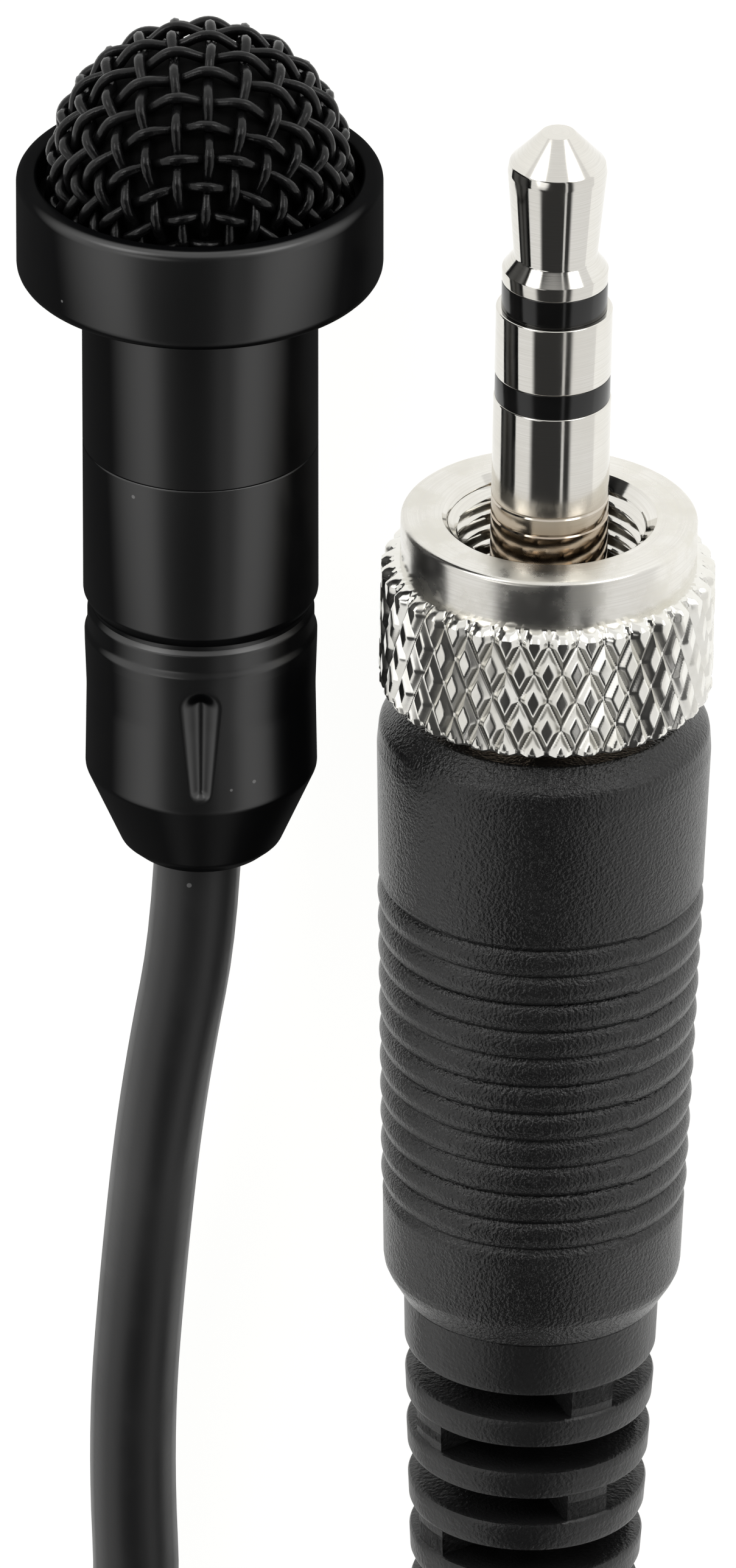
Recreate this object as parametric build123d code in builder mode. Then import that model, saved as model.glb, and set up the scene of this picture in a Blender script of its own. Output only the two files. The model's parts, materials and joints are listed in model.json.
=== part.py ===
from build123d import *
import math
import os

os.makedirs("parts", exist_ok=True)

# A lavalier microphone lying on a table: the microphone head, its cable folded in a tied hank,
# and a 3.5 mm plug with a locking nut. Millimetres. The head's axis is along Y, mesh end to -Y,
# and the plug lies beside it. The origin is under the middle of the microphone head.

# ---- driving dimensions: microphone head, stations run from the collar's front face ----
collar_radius = 5.43
collar_length = 3.3
collar_edge_round = 0.45
mouth_radius = 4.825
mouth_depth = 0.9
dome_radius = 4.6
mesh_thickness = 0.25
clamp_ring_start = 1.3
clamp_ring_radius = 3.95
collar_web = 2.3
liner_radius = 4.3
liner_thickness = 0.4
liner_end = 1.2

barrel_radius = 3.5
cap_clearance = 0.05
barrel_start = 0.6
barrel_nose_radius = 3.34
shoulder_radius = 3.66
shoulder_start = 3.35
shoulder_end = 3.55
barrel_end = 8.85
rear_barrel_radius = 3.5
rear_barrel_end = 13.85
groove_station = 14.63
groove_radius = 3.28
spigot_length = 1.5
spigot_radius = 3.0
wire_bore = 2.4
tail_spigot_radius = 2.8
tail_bore = 1.95
tail_bulge_station = 15.3
tail_bulge_radius = 3.465
tail_waist_station = 17.0
tail_waist_radius = 3.41
tail_edge_station = 19.65
tail_edge_radius = 3.455
tail_cone_station = 22.1
tail_cone_radius = 2.42
tail_end = 22.45
tail_end_radius = 2.05
tail_bore_end = 20.2
dimple_top = 16.2
dimple_point = 19.0
dimple_radius = 0.6

# ---- capsule ----
pocket_radius = 3.15
capsule_radius = 3.0
capsule_wall = 0.2
capsule_start = 1.0
capsule_end = 4.2
sound_hole_radius = 0.6
ring_start = capsule_start + capsule_wall
diaphragm_start = 1.5
spacer_start = 1.55
back_plate_start = 1.7
back_plate_end = 2.1
board_start = 3.5
board_end = 4.0
stack_radius = capsule_radius - capsule_wall
stack_inner_radius = 2.3
back_plate_radius = 2.5
solder_length = 0.35
solder_radius = 0.35
solder_spacing = 2.2
wire_radius = 0.32
wire_spacing = 0.8

# ---- cable ----
cable_radius = 1.3
mic_cable_start = 17.4
mic_crimp_start = 17.0

# ---- plug, stations run from the nut's front face, the tip is at a negative station ----
tip_front = -12.76
tip_flat_radius = 0.5
tip_wide_station = -11.54
tip_wide_radius = 1.48
tip_neck_station = -8.70
tip_neck_radius = 1.30
tip_shoulder_station = -8.29
tip_shoulder_radius = 1.58
tip_back = -7.88
ring_front = -7.0
ring_back = -4.84
sleeve_front = -4.05
ring_contact_radius = 1.735
ring_insulator_radius = 1.74
sleeve_radius = 1.75
core_radii = (0.45, 0.75, 1.05, 1.35)
core_ends = (13.0, 12.0, 11.0, 10.3)
sleeve_body_start = 2.5
sleeve_body_radius = 2.2
thrust_start = 5.75
thrust_radius = 3.3
grip_front = 6.2
sleeve_back = 9.5
sleeve_tail_radius = 2.6
nut_front_radius = 4.42
nut_step = 1.5
nut_radius = 4.98
nut_length = 5.7
nut_mouth_radius = 3.2
thread_radius = 2.73
nut_web_start = 3.15
nut_bore_radius = 2.26
retaining_ring_radius = 2.65
retaining_ring_length = 0.6
grip_nose_radius = 4.3
grip_nose_station = 6.9
grip_nose_end_radius = 4.95
grip_wide_station = 7.65
grip_wide_radius = 4.99
grip_taper_end = 25.4
grip_taper_radius = 4.42
grip_back = 26.7
grip_back_radius = 3.87
grip_cavity_radius = 3.3
grip_cavity_end = 22.5
boot_neck_radius = 3.1
groove_count = 12
groove_start = 12.27
groove_pitch = 0.94
groove_width = 0.36
groove_depth = 0.16
boot_band_end = 27.9
boot_band_radius = 3.78
boot_slot = 0.87
boot_pitch = 1.82
boot_slot_count = 9
boot_tail_radius = 2.45
boot_end = 47.0
boot_end_radius = 2.2
bridge_width = 1.5
bridge_angle = 59
plug_crimp_start = 17.5
plug_crimp_end = 21.5
plug_crimp_radius = 1.95
plug_cable_start = 19.5
boot_cable_end = 42.5

# ---- layout on the table ----
mic_height = collar_radius
collar_y = -9.15
plug_x = -10.36
plug_y = collar_y + 11.67
plug_height = 5.0
plug_lean = math.radians(1.05)

# ---- hank of put-away cable ----
hank_x = -4.5
hank_y = collar_y + 101.0
hank_half_width = 12.1
hank_half_length = 30.1
hank_height = 11.4
hank_corner = 9.5
waist_half_width = 8.1
waist_half_length = 4.5
waist_taper_end = 13.0
tie_width = 7.0
tie_thickness = 0.8

mic_profile = Plane(origin=(0, collar_y, mic_height), x_dir=(1, 0, 0), z_dir=(0, 0, 1))
mic_section = Plane(origin=(0, collar_y, mic_height), x_dir=(-1, 0, 0), z_dir=(0, 1, 0))
mic_axis = Axis((0, collar_y, mic_height), (0, 1, 0))
plug_direction = (math.sin(plug_lean), math.cos(plug_lean), 0)
plug_across = (math.cos(plug_lean), -math.sin(plug_lean), 0)
plug_profile = Plane(origin=(plug_x, plug_y, plug_height), x_dir=plug_across, z_dir=(0, 0, 1))
plug_section = Plane(
    origin=(plug_x, plug_y, plug_height),
    x_dir=(-plug_across[0], -plug_across[1], 0),
    z_dir=plug_direction,
)
plug_axis = Axis((plug_x, plug_y, plug_height), plug_direction)


# ==== microphone head: cap ====

# hemisphere of woven wire with a straight skirt, as one thin closed shell
with BuildPart() as mesh_dome:
    with BuildSketch(mic_profile):
        with BuildLine():
            dome_inner_radius = dome_radius - mesh_thickness
            ThreePointArc(
                (0, -dome_radius),
                (dome_radius * math.sin(math.pi / 4), -dome_radius * math.cos(math.pi / 4)),
                (dome_radius, 0),
            )
            Polyline((dome_radius, 0), (dome_radius, collar_web), (dome_inner_radius, collar_web), (dome_inner_radius, 0))
            ThreePointArc(
                (dome_inner_radius, 0),
                (dome_inner_radius * math.sin(math.pi / 4), -dome_inner_radius * math.cos(math.pi / 4)),
                (0, -dome_inner_radius),
            )
            Line((0, -dome_inner_radius), (0, -dome_radius))
        make_face()
    revolve(axis=mic_axis)
mesh_dome.part.label = "mesh_dome"
export_step(mesh_dome.part, "parts/mesh_dome.step")

with BuildPart() as acoustic_liner:
    with BuildSketch(mic_profile):
        with BuildLine():
            liner_inner_radius = liner_radius - liner_thickness
            ThreePointArc(
                (0, -liner_radius),
                (liner_radius * math.sin(math.pi / 4), -liner_radius * math.cos(math.pi / 4)),
                (liner_radius, 0),
            )
            Polyline((liner_radius, 0), (liner_radius, liner_end), (liner_inner_radius, liner_end), (liner_inner_radius, 0))
            ThreePointArc(
                (liner_inner_radius, 0),
                (liner_inner_radius * math.sin(math.pi / 4), -liner_inner_radius * math.cos(math.pi / 4)),
                (0, -liner_inner_radius),
            )
            Line((0, -liner_inner_radius), (0, -liner_radius))
        make_face()
    revolve(axis=mic_axis)
acoustic_liner.part.label = "acoustic_liner"
export_step(acoustic_liner.part, "parts/acoustic_liner.step")

with BuildPart() as cap_collar:
    with BuildSketch(mic_profile):
        with BuildLine():
            Polyline(
                (mouth_radius, 0),
                (collar_radius, 0),
                (collar_radius, collar_length),
                (barrel_radius + cap_clearance, collar_length),
                (barrel_radius + cap_clearance, collar_web),
                (dome_radius, collar_web),
                (dome_radius, mouth_depth),
                (mouth_radius, mouth_depth),
                close=True,
            )
        make_face()
    revolve(axis=mic_axis)
    outer_edges = cap_collar.edges().filter_by(GeomType.CIRCLE).filter_by(
        lambda edge: edge.radius > collar_radius - 0.01
    )
    fillet(outer_edges, collar_edge_round)
cap_collar.part.label = "cap_collar"
export_step(cap_collar.part, "parts/cap_collar.step")

with BuildPart() as mesh_clamp_ring:
    with BuildSketch(mic_section.offset(clamp_ring_start)):
        Circle(dome_radius - mesh_thickness)
        Circle(clamp_ring_radius, mode=Mode.SUBTRACT)
    extrude(amount=collar_web - clamp_ring_start)
mesh_clamp_ring.part.label = "mesh_clamp_ring"
export_step(mesh_clamp_ring.part, "parts/mesh_clamp_ring.step")


# ==== microphone head: barrels and tail ====

with BuildPart() as upper_housing:
    with BuildSketch(mic_profile):
        with BuildLine():
            Polyline(
                (barrel_nose_radius, barrel_start),
                (barrel_nose_radius, shoulder_start),
                (shoulder_radius, shoulder_start),
                (shoulder_radius, shoulder_end),
                (barrel_radius, shoulder_end),
                (barrel_radius, barrel_end),
                (spigot_radius, barrel_end),
                (spigot_radius, barrel_end - spigot_length),
                (wire_bore, barrel_end - spigot_length),
                (wire_bore, capsule_end),
                (pocket_radius, capsule_end),
                (pocket_radius, barrel_start),
                close=True,
            )
        make_face()
    revolve(axis=mic_axis)
upper_housing.part.label = "upper_housing"
export_step(upper_housing.part, "parts/upper_housing.step")

with BuildPart() as middle_housing:
    with BuildSketch(mic_profile):
        with BuildLine():
            bevel = 0.12
            Polyline(
                (groove_radius, groove_station),
                (tail_spigot_radius, groove_station),
                (tail_spigot_radius, groove_station - spigot_length),
                (wire_bore, groove_station - spigot_length),
                (wire_bore, barrel_end - spigot_length),
                (spigot_radius, barrel_end - spigot_length),
                (spigot_radius, barrel_end),
                (rear_barrel_radius - bevel, barrel_end),
                (rear_barrel_radius, barrel_end + bevel),
                (rear_barrel_radius, rear_barrel_end),
            )
            ThreePointArc(
                (rear_barrel_radius, rear_barrel_end),
                (rear_barrel_radius - 0.04, rear_barrel_end + 0.45),
                (groove_radius, groove_station),
            )
        make_face()
    revolve(axis=mic_axis)
middle_housing.part.label = "middle_housing"
export_step(middle_housing.part, "parts/middle_housing.step")

# tail: bulge behind the groove, slight waist, sharp edge, cone to a rounded end, long crimp dimple on top
with BuildPart() as tail_sleeve:
    with BuildSketch(mic_profile):
        with BuildLine():
            ThreePointArc(
                (groove_radius, groove_station),
                (groove_radius + 0.145, groove_station + 0.25),
                (tail_bulge_radius, tail_bulge_station),
            )
            ThreePointArc(
                (tail_bulge_radius, tail_bulge_station),
                (tail_waist_radius, tail_waist_station),
                (tail_edge_radius, tail_edge_station),
            )
            Line((tail_edge_radius, tail_edge_station), (tail_cone_radius, tail_cone_station))
            ThreePointArc(
                (tail_cone_radius, tail_cone_station),
                (tail_cone_radius - 0.12, tail_end - 0.1),
                (tail_end_radius, tail_end),
            )
            Polyline(
                (tail_end_radius, tail_end),
                (cable_radius, tail_end),
                (cable_radius, tail_bore_end),
                (tail_bore, tail_bore_end),
                (tail_bore, groove_station - spigot_length),
                (tail_spigot_radius, groove_station - spigot_length),
                (tail_spigot_radius, groove_station),
                (groove_radius, groove_station),
            )
        make_face()
    revolve(axis=mic_axis)
    with BuildSketch(mic_section.offset(dimple_top)):
        with Locations((0, tail_edge_radius)):
            Circle(dimple_radius)
    with BuildSketch(mic_section.offset(dimple_point)):
        with Locations((0, tail_edge_radius)):
            Circle(dimple_radius / 2)
    loft(mode=Mode.SUBTRACT)
    with Locations((0, collar_y + dimple_top, mic_height + tail_edge_radius)):
        Sphere(dimple_radius, mode=Mode.SUBTRACT)
    with Locations((0, collar_y + dimple_point, mic_height + tail_edge_radius)):
        Sphere(dimple_radius / 2, mode=Mode.SUBTRACT)
tail_sleeve.part.label = "tail_sleeve"
export_step(tail_sleeve.part, "parts/tail_sleeve.step")

with BuildPart() as mic_cable_crimp:
    with BuildSketch(mic_section.offset(mic_crimp_start)):
        Circle(tail_bore)
        Circle(cable_radius, mode=Mode.SUBTRACT)
    extrude(amount=tail_bore_end - mic_crimp_start)
mic_cable_crimp.part.label = "mic_cable_crimp"
export_step(mic_cable_crimp.part, "parts/mic_cable_crimp.step")


# ==== electret capsule ====

with BuildPart() as capsule_gasket:
    with BuildSketch(mic_section.offset(capsule_start + 0.3)):
        Circle(pocket_radius)
        Circle(capsule_radius, mode=Mode.SUBTRACT)
    extrude(amount=capsule_end - capsule_start - 0.6)
capsule_gasket.part.label = "capsule_gasket"
export_step(capsule_gasket.part, "parts/capsule_gasket.step")

with BuildPart() as capsule_can:
    with BuildSketch(mic_profile):
        with BuildLine():
            Polyline(
                (sound_hole_radius, capsule_start),
                (capsule_radius, capsule_start),
                (capsule_radius, capsule_end),
                (stack_inner_radius, capsule_end),
                (stack_inner_radius, board_end),
                (stack_radius, board_end),
                (stack_radius, ring_start),
                (sound_hole_radius, ring_start),
                close=True,
            )
        make_face()
    revolve(axis=mic_axis)
capsule_can.part.label = "capsule_can"
export_step(capsule_can.part, "parts/capsule_can.step")

with BuildPart() as diaphragm_ring:
    with BuildSketch(mic_section.offset(ring_start)):
        Circle(stack_radius)
        Circle(stack_inner_radius, mode=Mode.SUBTRACT)
    extrude(amount=diaphragm_start - ring_start)
diaphragm_ring.part.label = "diaphragm_ring"
export_step(diaphragm_ring.part, "parts/diaphragm_ring.step")

with BuildPart() as capsule_diaphragm:
    with BuildSketch(mic_section.offset(diaphragm_start)):
        Circle(stack_radius)
    extrude(amount=spacer_start - diaphragm_start)
capsule_diaphragm.part.label = "capsule_diaphragm"
export_step(capsule_diaphragm.part, "parts/capsule_diaphragm.step")

with BuildPart() as diaphragm_spacer:
    with BuildSketch(mic_section.offset(spacer_start)):
        Circle(stack_radius)
        Circle(stack_inner_radius, mode=Mode.SUBTRACT)
    extrude(amount=back_plate_start - spacer_start)
diaphragm_spacer.part.label = "diaphragm_spacer"
export_step(diaphragm_spacer.part, "parts/diaphragm_spacer.step")

with BuildPart() as back_plate:
    with BuildSketch(mic_section.offset(back_plate_start)):
        Circle(back_plate_radius)
        with PolarLocations(back_plate_radius / 2, 6):
            Circle(0.2, mode=Mode.SUBTRACT)
    extrude(amount=back_plate_end - back_plate_start)
back_plate.part.label = "back_plate"
export_step(back_plate.part, "parts/back_plate.step")

with BuildPart() as back_plate_holder:
    with BuildSketch(mic_profile):
        with BuildLine():
            Polyline(
                (back_plate_radius, back_plate_start),
                (stack_radius, back_plate_start),
                (stack_radius, board_start),
                (stack_inner_radius, board_start),
                (stack_inner_radius, back_plate_end),
                (back_plate_radius, back_plate_end),
                close=True,
            )
        make_face()
    revolve(axis=mic_axis)
back_plate_holder.part.label = "back_plate_holder"
export_step(back_plate_holder.part, "parts/back_plate_holder.step")

with BuildPart() as capsule_board:
    with BuildSketch(mic_section.offset(board_start)):
        Circle(stack_radius)
    extrude(amount=board_end - board_start)
capsule_board.part.label = "capsule_board"
export_step(capsule_board.part, "parts/capsule_board.step")

with BuildPart() as capsule_transistor:
    with BuildSketch(mic_section.offset(board_start - 0.6)):
        Rectangle(1.6, 1.2)
    extrude(amount=0.6)
    fillet(capsule_transistor.edges().filter_by(Axis.Y), 0.15)
capsule_transistor.part.label = "capsule_transistor"
export_step(capsule_transistor.part, "parts/capsule_transistor.step")

with BuildPart() as capsule_solder:
    with BuildSketch(mic_section.offset(board_end)):
        with GridLocations(solder_spacing, 0, 2, 1):
            Circle(solder_radius)
    extrude(amount=solder_length, taper=12)
capsule_solder.part.label = "capsule_solder"
export_step(capsule_solder.part, "parts/capsule_solder.step")


# a cable core runs from its solder joint to the end of the cable's jacket
def core_points(side):
    return (
        (side * solder_spacing / 2, collar_y + board_end + solder_length, mic_height),
        (side * solder_spacing / 2, collar_y + board_end + solder_length + 3, mic_height),
        (side * wire_spacing / 2, collar_y + mic_cable_start - 5, mic_height),
        (side * wire_spacing / 2, collar_y + mic_cable_start, mic_height),
    )


with BuildPart() as mic_signal_wire:
    with BuildLine() as signal_path:
        FilletPolyline(*core_points(1), radius=2)
    with BuildSketch(Plane(origin=signal_path.line @ 0, z_dir=signal_path.line % 0)):
        Circle(wire_radius)
    sweep(path=signal_path.line)
mic_signal_wire.part.label = "mic_signal_wire"
export_step(mic_signal_wire.part, "parts/mic_signal_wire.step")

with BuildPart() as mic_shield_wire:
    with BuildLine() as shield_path:
        FilletPolyline(*core_points(-1), radius=2)
    with BuildSketch(Plane(origin=shield_path.line @ 0, z_dir=shield_path.line % 0)):
        Circle(wire_radius)
    sweep(path=shield_path.line)
mic_shield_wire.part.label = "mic_shield_wire"
export_step(mic_shield_wire.part, "parts/mic_shield_wire.step")


# ==== plug contacts, one inside the other ====

with BuildPart() as tip_contact:
    with BuildSketch(plug_profile):
        with BuildLine():
            Polyline((0, core_ends[0]), (0, tip_front), (tip_flat_radius, tip_front))
            ThreePointArc(
                (tip_flat_radius, tip_front),
                (tip_wide_radius - 0.34, tip_wide_station - 0.55),
                (tip_wide_radius, tip_wide_station),
            )
            Polyline(
                (tip_wide_radius, tip_wide_station),
                (tip_neck_radius, tip_neck_station),
                (tip_shoulder_radius, tip_shoulder_station),
                (tip_shoulder_radius, tip_back),
                (core_radii[0], tip_back),
                (core_radii[0], core_ends[0]),
                (0, core_ends[0]),
            )
        make_face()
    revolve(axis=plug_axis)
tip_contact.part.label = "tip_contact"
export_step(tip_contact.part, "parts/tip_contact.step")

with BuildPart() as tip_insulator:
    with BuildSketch(plug_profile):
        with BuildLine():
            Polyline(
                (core_radii[0], tip_back),
                (tip_shoulder_radius, tip_back),
                (tip_shoulder_radius, ring_front),
                (core_radii[1], ring_front),
                (core_radii[1], core_ends[1]),
                (core_radii[0], core_ends[1]),
                close=True,
            )
        make_face()
    revolve(axis=plug_axis)
tip_insulator.part.label = "tip_insulator"
export_step(tip_insulator.part, "parts/tip_insulator.step")

with BuildPart() as ring_contact:
    with BuildSketch(plug_profile):
        with BuildLine():
            Polyline(
                (core_radii[1], ring_front),
                (ring_contact_radius, ring_front),
                (ring_contact_radius, ring_back),
                (core_radii[2], ring_back),
                (core_radii[2], core_ends[2]),
                (core_radii[1], core_ends[2]),
                close=True,
            )
        make_face()
    revolve(axis=plug_axis)
ring_contact.part.label = "ring_contact"
export_step(ring_contact.part, "parts/ring_contact.step")

with BuildPart() as ring_insulator:
    with BuildSketch(plug_profile):
        with BuildLine():
            Polyline(
                (core_radii[2], ring_back),
                (ring_insulator_radius, ring_back),
                (ring_insulator_radius, sleeve_front),
                (core_radii[3], sleeve_front),
                (core_radii[3], core_ends[3]),
                (core_radii[2], core_ends[3]),
                close=True,
            )
        make_face()
    revolve(axis=plug_axis)
ring_insulator.part.label = "ring_insulator"
export_step(ring_insulator.part, "parts/ring_insulator.step")

# the sleeve contact carries the nut and is moulded into the grip
with BuildPart() as sleeve_contact:
    with BuildSketch(plug_profile):
        with BuildLine():
            Polyline(
                (core_radii[3], sleeve_front),
                (sleeve_radius, sleeve_front),
                (sleeve_radius, sleeve_body_start),
                (sleeve_body_radius, sleeve_body_start),
                (sleeve_body_radius, thrust_start),
                (thrust_radius, thrust_start),
                (thrust_radius, grip_front),
                (sleeve_tail_radius, grip_front),
                (sleeve_tail_radius, sleeve_back),
                (core_radii[3], sleeve_back),
                close=True,
            )
        make_face()
    revolve(axis=plug_axis)
sleeve_contact.part.label = "sleeve_contact"
export_step(sleeve_contact.part, "parts/sleeve_contact.step")

with BuildPart() as rear_insulator:
    with BuildSketch(plug_section.offset(sleeve_back)):
        Circle(sleeve_tail_radius)
        Circle(core_radii[3], mode=Mode.SUBTRACT)
    extrude(amount=core_ends[3] - sleeve_back)
rear_insulator.part.label = "rear_insulator"
export_step(rear_insulator.part, "parts/rear_insulator.step")

with BuildPart() as nut_retaining_ring:
    with BuildSketch(plug_section.offset(sleeve_body_start)):
        Circle(retaining_ring_radius)
        Circle(sleeve_body_radius, mode=Mode.SUBTRACT)
    extrude(amount=retaining_ring_length)
nut_retaining_ring.part.label = "nut_retaining_ring"
export_step(nut_retaining_ring.part, "parts/nut_retaining_ring.step")

# locking nut: smooth front shoulder, knurled rim, threaded mouth, web that turns on the sleeve
with BuildPart() as locking_nut:
    with BuildSketch(plug_profile):
        with BuildLine():
            edge = 0.15
            Polyline(
                (nut_mouth_radius, 0),
                (nut_front_radius - edge, 0),
                (nut_front_radius, edge),
                (nut_front_radius, nut_step),
                (nut_radius - edge, nut_step),
                (nut_radius, nut_step + edge),
                (nut_radius, nut_length - edge),
                (nut_radius - edge, nut_length),
                (nut_bore_radius, nut_length),
                (nut_bore_radius, nut_web_start),
                (thread_radius, nut_web_start),
                (thread_radius, nut_mouth_radius - thread_radius),
                close=True,
            )
        make_face()
    revolve(axis=plug_axis)
locking_nut.part.label = "locking_nut"
export_step(locking_nut.part, "parts/locking_nut.step")


# ==== grip and boot ====

with BuildPart() as grip_shell:
    with BuildSketch(plug_profile):
        with BuildLine():
            Polyline(
                (grip_nose_radius, grip_front),
                (grip_nose_end_radius, grip_nose_station),
                (grip_wide_radius, grip_wide_station),
                (grip_taper_radius, grip_taper_end),
            )
            ThreePointArc(
                (grip_taper_radius, grip_taper_end),
                (grip_taper_radius - 0.14, grip_back - 0.55),
                (grip_back_radius, grip_back),
            )
            Polyline(
                (grip_back_radius, grip_back),
                (boot_neck_radius, grip_back),
                (boot_neck_radius, grip_cavity_end),
                (grip_cavity_radius, grip_cavity_end),
                (grip_cavity_radius, core_ends[3]),
                (sleeve_tail_radius, core_ends[3]),
                (sleeve_tail_radius, grip_front),
                (grip_nose_radius, grip_front),
            )
        make_face()
        with BuildLine():
            for index in range(groove_count):
                station = groove_start + index * groove_pitch
                taper = (grip_wide_radius - grip_taper_radius) / (grip_taper_end - grip_wide_station)
                wall = grip_wide_radius - taper * (station - grip_wide_station)
                Polyline(
                    (wall + groove_depth, station - groove_width / 2),
                    (wall + groove_depth, station + groove_width / 2),
                    (wall - groove_depth, station),
                    close=True,
                )
        make_face(mode=Mode.SUBTRACT)
    revolve(axis=plug_axis)
grip_shell.part.label = "grip_shell"
export_step(grip_shell.part, "parts/grip_shell.step")

# boot: a tapered tube with slots cut through to its bore, each crossed by two bridges
with BuildPart() as strain_relief_boot:
    with BuildSketch(plug_profile):
        with BuildLine():
            slotted_end = boot_band_end + boot_slot_count * boot_pitch
            Polyline(
                (cable_radius, grip_cavity_end),
                (boot_neck_radius, grip_cavity_end),
                (boot_neck_radius, grip_back),
                (grip_back_radius, grip_back),
                (boot_band_radius, boot_band_end),
                (boot_band_radius - 0.7, slotted_end),
                (boot_tail_radius, slotted_end + 0.6),
                (boot_end_radius, boot_end),
                (cable_radius, boot_end),
                close=True,
            )
        make_face()
    revolve(axis=plug_axis)
    for index in range(boot_slot_count):
        turn = bridge_angle + 90 * (index % 2)
        with BuildSketch(plug_section.offset(boot_band_end + index * boot_pitch)):
            Circle(grip_wide_radius)
            Circle(cable_radius, mode=Mode.SUBTRACT)
            Rectangle(3 * grip_wide_radius, bridge_width, rotation=turn, mode=Mode.SUBTRACT)
        extrude(amount=boot_slot, mode=Mode.SUBTRACT)
strain_relief_boot.part.label = "strain_relief_boot"
export_step(strain_relief_boot.part, "parts/strain_relief_boot.step")

with BuildPart() as cable_in_boot:
    with BuildSketch(plug_section.offset(plug_cable_start)):
        Circle(cable_radius)
    extrude(amount=boot_cable_end - plug_cable_start)
cable_in_boot.part.label = "cable_in_boot"
export_step(cable_in_boot.part, "parts/cable_in_boot.step")

with BuildPart() as plug_cable_crimp:
    with BuildSketch(plug_section.offset(plug_crimp_start)):
        Circle(plug_crimp_radius)
        Circle(cable_radius, mode=Mode.SUBTRACT)
    extrude(amount=plug_crimp_end - plug_crimp_start)
plug_cable_crimp.part.label = "plug_cable_crimp"
export_step(plug_cable_crimp.part, "parts/plug_cable_crimp.step")


# ==== wiring in the grip ====

with BuildPart() as plug_solder:
    with BuildSketch(plug_section.offset(core_ends[0])):
        Circle(core_radii[0] + 0.15)
    extrude(amount=0.6)
    with BuildSketch(plug_section.offset(core_ends[3])):
        with Locations((sleeve_tail_radius - 0.6, 0)):
            Circle(0.5)
    extrude(amount=0.6)
plug_solder.part.label = "plug_solder"
export_step(plug_solder.part, "parts/plug_solder.step")

with BuildPart() as plug_signal_wire:
    with BuildSketch(plug_section.offset(core_ends[0] + 0.6)):
        Circle(wire_radius)
    extrude(amount=plug_cable_start - core_ends[0] - 0.6)
plug_signal_wire.part.label = "plug_signal_wire"
export_step(plug_signal_wire.part, "parts/plug_signal_wire.step")

with BuildPart() as plug_shield_wire:
    with BuildLine() as ground_path:
        FilletPolyline(
            plug_section.from_local_coords((sleeve_tail_radius - 0.6, 0, core_ends[3] + 0.6)),
            plug_section.from_local_coords((sleeve_tail_radius - 0.6, 0, 14.0)),
            plug_section.from_local_coords((wire_spacing, 0, 17.0)),
            plug_section.from_local_coords((wire_spacing, 0, plug_cable_start)),
            radius=2,
        )
    with BuildSketch(Plane(origin=ground_path.line @ 0, z_dir=ground_path.line % 0)):
        Circle(wire_radius)
    sweep(path=ground_path.line)
plug_shield_wire.part.label = "plug_shield_wire"
export_step(plug_shield_wire.part, "parts/plug_shield_wire.step")


# ==== cable ====

# Points of the cable's route, x y z, with y counted from the collar's front face.
# It leaves the tail, sinks to the table, and runs in easy curves to the hank's outer leg.
mic_side_route = (
    (0.0, mic_cable_start, mic_height),
    (0.0, 24.2, mic_height),
    (1.15, 31.2, 4.35),
    (1.75, 38.0, 2.0),
    (2.25, 45.0, cable_radius),
    (1.95, 52.2, cable_radius),
    (3.6, 60.0, cable_radius),
    (5.9, 68.5, cable_radius),
    (6.1, 77.0, cable_radius),
)

# It leaves the boot straight, climbs to the top of the hank and joins its other outer leg.
boot_mouth = plug_section.from_local_coords((0, 0, boot_cable_end))
boot_lead = plug_section.from_local_coords((0, 0, boot_cable_end + 7.0))
plug_side_route = (
    (boot_mouth.X, boot_mouth.Y - collar_y, plug_height),
    (boot_lead.X, boot_lead.Y - collar_y, plug_height),
    (-10.3, 68.4, 6.7),
    (-13.2, 74.6, 9.2),
    (-14.9, 81.6, 9.5),
)


# each corner's radius uses 0.45 of its shorter run
def corner_radii(points):
    radii = []
    for index in range(1, len(points) - 1):
        before = Vector(points[index]) - Vector(points[index - 1])
        after = Vector(points[index + 1]) - Vector(points[index])
        half_turn = math.radians(before.get_angle(after) / 2)
        radii.append(0.45 * min(before.length, after.length) / math.tan(half_turn))
    return radii


for name, route in (("mic side", mic_side_route), ("plug side", plug_side_route)):
    print(name, "corner radii:", [round(radius, 1) for radius in corner_radii(route)])

mic_side_points = [Vector(x, y + collar_y, z) for x, y, z in mic_side_route]
with BuildPart() as mic_side_cable:
    with BuildLine() as mic_side_path:
        FilletPolyline(*mic_side_points, radius=corner_radii(mic_side_route))
    with BuildSketch(Plane(origin=mic_side_path.line @ 0, z_dir=mic_side_path.line % 0)):
        Circle(cable_radius)
    sweep(path=mic_side_path.line)
mic_side_cable.part.label = "mic_side_cable"
export_step(mic_side_cable.part, "parts/mic_side_cable.step")

plug_side_points = [Vector(x, y + collar_y, z) for x, y, z in plug_side_route]
with BuildPart() as plug_side_cable:
    with BuildLine() as plug_side_path:
        FilletPolyline(*plug_side_points, radius=corner_radii(plug_side_route))
    with BuildSketch(Plane(origin=plug_side_path.line @ 0, z_dir=plug_side_path.line % 0)):
        Circle(cable_radius)
    sweep(path=plug_side_path.line)
plug_side_cable.part.label = "plug_side_cable"
export_step(plug_side_cable.part, "parts/plug_side_cable.step")

section_area = math.pi * cable_radius**2
for name, cable, path in (
    ("mic side", mic_side_cable, mic_side_path),
    ("plug side", plug_side_cable, plug_side_path),
):
    length = sum(edge.length for edge in path.edges())
    ratio = cable.part.volume / (section_area * length)
    print(name, "length", round(length, 1), "volume over section times length", round(ratio, 4))

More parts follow.
